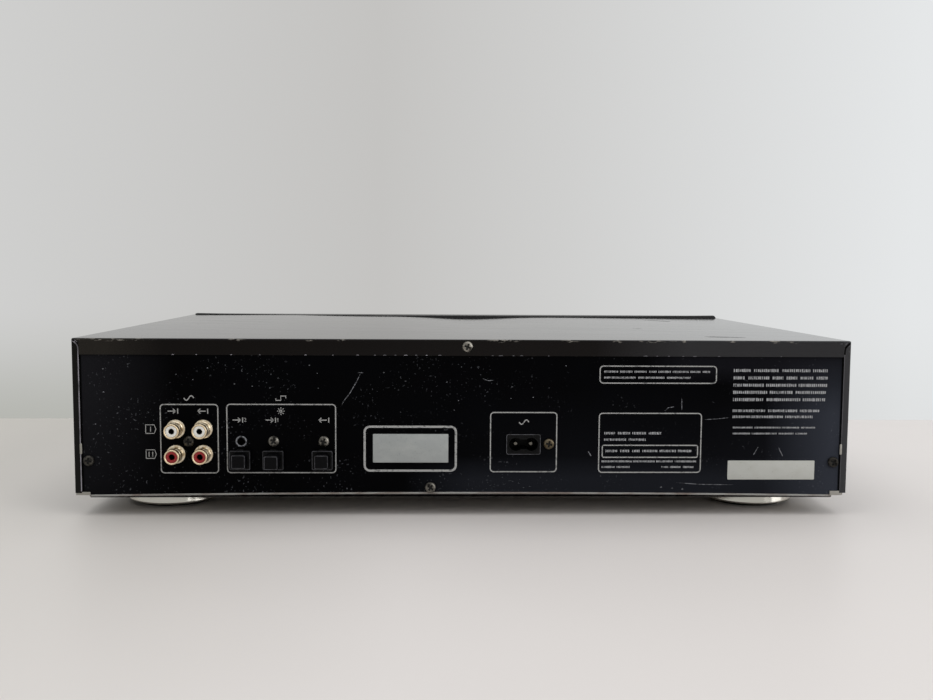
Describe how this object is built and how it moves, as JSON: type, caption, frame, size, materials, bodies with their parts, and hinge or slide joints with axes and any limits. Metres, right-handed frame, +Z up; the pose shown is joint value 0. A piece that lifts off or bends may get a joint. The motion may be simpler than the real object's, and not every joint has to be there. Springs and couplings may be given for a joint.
{
  "type": "minidisc deck",
  "caption": "Full-size black hi-fi minidisc recorder with a slot for the cartridge, a folded steel cover and phono, optical and mains sockets at the rear.",
  "frame": {"origin": "on the shelf, under the middle of the deck's overall box", "axes": "+Z up, -Y out of the front face, +Y out of the rear panel, +X to the right as seen from the front"},
  "size_m": [0.4338, 0.3122, 0.0998],
  "materials": {
    "cover_paint": "satin black baked paint on steel",
    "panel_paint": "semi-gloss black paint on steel",
    "bare_steel": "zinc-plated sheet steel",
    "front_plastic": "fine satin black moulding",
    "bright_foot": "bright plated moulding",
    "pad_rubber": "plain black rubber",
    "screw_steel": "black-plated screw with worn recess",
    "plain_screw": "zinc-plated screw",
    "black_moulding": "black moulded plastic",
    "phono_plating": "pale gold and nickel plating",
    "red_plastic": "moulded red",
    "white_plastic": "moulded white",
    "pin_nickel": "nickel-plated brass",
    "circuit_board": "green solder mask",
    "chip_epoxy": "moulded epoxy",
    "capacitor_sleeve": "shrunk sleeve",
    "core_iron": "varnished laminations",
    "tube_glass": "display tube",
    "window_plastic": "smoked window",
    "mech_steel": "zinc-plated sheet",
    "mech_cast": "die-cast",
    "rod_steel": "ground steel",
    "gear_acetal": "natural acetal",
    "lens_glass": "coated lens",
    "motor_can": "nickel-plated can",
    "key_plastic": "black keys",
    "plug_plastic": "black dust plug"
  },
  "bodies": {
    "deck": {"top_cover": "cover_paint", "bottom_chassis": "bare_steel", "rear_panel": "panel_paint", "front_panel": "front_plastic", "feet": "bright_foot", "foot_pads": "pad_rubber", "foot_screws": "plain_screw", "panel_screws": "screw_steel", "phono_jack_block": "black_moulding", "phono_jack_shells": "phono_plating", "phono_inserts_red": "red_plastic", "phono_inserts_white": "white_plastic", "optical_jacks": "black_moulding", "mains_inlet": "black_moulding", "mains_inlet_pins": "pin_nickel", "main_board": "circuit_board", "power_board": "circuit_board", "display_board": "circuit_board", "board_chips": "chip_epoxy", "board_capacitors": "capacitor_sleeve", "power_transformer": "core_iron", "display_tube": "tube_glass", "board_switches": "black_moulding", "rotary_controls": "motor_can", "display_window": "window_plastic", "headphone_jack": "black_moulding", "mech_bracket": "mech_steel", "mech_dampers": "pad_rubber", "mech_chassis": "mech_steel", "spindle_motor": "motor_can", "guide_rods": "rod_steel", "sled_motor": "motor_can", "loading_motor": "motor_can", "slot_door_pin": "rod_steel"},
    "slot_door": {"slot_door": "front_plastic"},
    "cam_slider": {"cam_slider": "gear_acetal"},
    "cartridge_holder": {"cartridge_holder": "mech_steel"},
    "loading_gear": {"loading_gear": "gear_acetal"},
    "motor_pinion": {"motor_pinion": "gear_acetal"},
    "turntable": {"turntable": "gear_acetal"},
    "pickup_sled": {"optical_pickup": "mech_cast", "pickup_lens": "lens_glass"},
    "head_arm": {"head_arm": "mech_steel"},
    "lead_screw": {"lead_screw": "rod_steel"},
    "jog_dial": {"jog_dial": "key_plastic"},
    "record_level_knob": {"record_level_knob": "key_plastic"},
    "phones_level_knob": {"phones_level_knob": "key_plastic"},
    "timer_switch": {"timer_switch": "key_plastic"},
    "play_button": {"play_button": "key_plastic"},
    "pause_button": {"pause_button": "key_plastic"},
    "stop_button": {"stop_button": "key_plastic"},
    "record_button": {"record_button": "key_plastic"},
    "skip_back_button": {"skip_back_button": "key_plastic"},
    "skip_forward_button": {"skip_forward_button": "key_plastic"},
    "eject_button": {"eject_button": "key_plastic"},
    "power_button": {"power_button": "key_plastic"},
    "optical_dust_plug_1": {"optical_dust_plug_1": "plug_plastic"},
    "optical_dust_plug_2": {"optical_dust_plug_2": "plug_plastic"},
    "optical_dust_plug_3": {"optical_dust_plug_3": "plug_plastic"}
  },
  "joints": [
    {"name": "play_press", "type": "slide", "parent": "deck", "child": "play_button", "axis": [0, 1, 0], "range_m": [0, 0.0005], "stiffness_N_per_m": 400},
    {"name": "pause_press", "type": "slide", "parent": "deck", "child": "pause_button", "axis": [0, 1, 0], "range_m": [0, 0.0005], "stiffness_N_per_m": 400},
    {"name": "stop_press", "type": "slide", "parent": "deck", "child": "stop_button", "axis": [0, 1, 0], "range_m": [0, 0.0005], "stiffness_N_per_m": 400},
    {"name": "record_press", "type": "slide", "parent": "deck", "child": "record_button", "axis": [0, 1, 0], "range_m": [0, 0.0005], "stiffness_N_per_m": 400},
    {"name": "skip_back_press", "type": "slide", "parent": "deck", "child": "skip_back_button", "axis": [0, 1, 0], "range_m": [0, 0.0005], "stiffness_N_per_m": 400},
    {"name": "skip_forward_press", "type": "slide", "parent": "deck", "child": "skip_forward_button", "axis": [0, 1, 0], "range_m": [0, 0.0005], "stiffness_N_per_m": 400},
    {"name": "eject_press", "type": "slide", "parent": "deck", "child": "eject_button", "axis": [0, 1, 0], "range_m": [0, 0.0005], "stiffness_N_per_m": 400},
    {"name": "power_press", "type": "slide", "parent": "deck", "child": "power_button", "axis": [0, 1, 0], "range_m": [0, 0.0025], "stiffness_N_per_m": 250},
    {"name": "jog_turn", "type": "hinge", "parent": "deck", "child": "jog_dial", "pos_m": [0.162, -0.1426, 0.062], "axis": [0, 1, 0], "continuous": true},
    {"name": "record_level_turn", "type": "hinge", "parent": "deck", "child": "record_level_knob", "pos_m": [-0.05, -0.1426, 0.03], "axis": [0, 1, 0], "range_deg": [-150, 150]},
    {"name": "phones_level_turn", "type": "hinge", "parent": "deck", "child": "phones_level_knob", "pos_m": [-0.088, -0.1426, 0.03], "axis": [0, 1, 0], "range_deg": [-150, 150]},
    {"name": "timer_slide", "type": "slide", "parent": "deck", "child": "timer_switch", "axis": [1, 0, 0], "range_m": [-0.004, 0.004]},
    {"name": "slot_door_swing", "type": "hinge", "parent": "deck", "child": "slot_door", "pos_m": [-0.085, -0.1377, 0.076], "axis": [-1, 0, 0], "range_deg": [-84, 0], "stiffness_Nm_per_rad": 0.0006, "springref_deg": 20.05},
    {"name": "cam_slide", "type": "slide", "parent": "deck", "child": "cam_slider", "axis": [0, 1, 0], "range_m": [0, 0.012]},
    {"name": "holder_lower", "type": "slide", "parent": "deck", "child": "cartridge_holder", "axis": [0, 0, -1], "range_m": [0, 0.006]},
    {"name": "loading_gear_spin", "type": "hinge", "parent": "deck", "child": "loading_gear", "pos_m": [-0.1372, -0.0878, 0.0495], "axis": [0, 0, 1], "range_deg": [0, 127.42]},
    {"name": "motor_pinion_spin", "type": "hinge", "parent": "deck", "child": "motor_pinion", "pos_m": [-0.1522, -0.0878, 0.0495], "axis": [0, 0, 1], "range_deg": [-509.5, 0]},
    {"name": "disc_spin", "type": "hinge", "parent": "deck", "child": "turntable", "pos_m": [-0.085, -0.0918, 0.0495], "axis": [0, 0, 1], "continuous": true},
    {"name": "sled_slide", "type": "slide", "parent": "deck", "child": "pickup_sled", "axis": [1, 0, 0], "range_m": [0, 0.0165]},
    {"name": "lead_screw_turn", "type": "hinge", "parent": "deck", "child": "lead_screw", "pos_m": [-0.085, -0.0678, 0.0543], "axis": [1, 0, 0], "range_deg": [0, 2377]},
    {"name": "head_lower", "type": "hinge", "parent": "pickup_sled", "child": "head_arm", "pos_m": [-0.0705, -0.0534, 0.0789], "axis": [1, 0, 0], "range_deg": [0, 16.05]},
    {"name": "optical_dust_plug_1_pull", "type": "slide", "parent": "deck", "child": "optical_dust_plug_1", "axis": [0, 1, 0], "range_m": [0, 0.012]},
    {"name": "optical_dust_plug_2_pull", "type": "slide", "parent": "deck", "child": "optical_dust_plug_2", "axis": [0, 1, 0], "range_m": [-0.003, 0.009]},
    {"name": "optical_dust_plug_3_pull", "type": "slide", "parent": "deck", "child": "optical_dust_plug_3", "axis": [0, 1, 0], "range_m": [-0.0005, 0.0115]}
  ],
  "couplings": [
    {"joint": "holder_lower", "follows": "cam_slide", "ratio": 0.5},
    {"joint": "loading_gear_spin", "follows": "cam_slide", "rad_per_m": 185.19},
    {"joint": "motor_pinion_spin", "follows": "cam_slide", "rad_per_m": -740.74},
    {"joint": "head_lower", "follows": "cam_slide", "rad_per_m": 23.271},
    {"joint": "lead_screw_turn", "follows": "sled_slide", "rad_per_m": 2513.3}
  ]
}
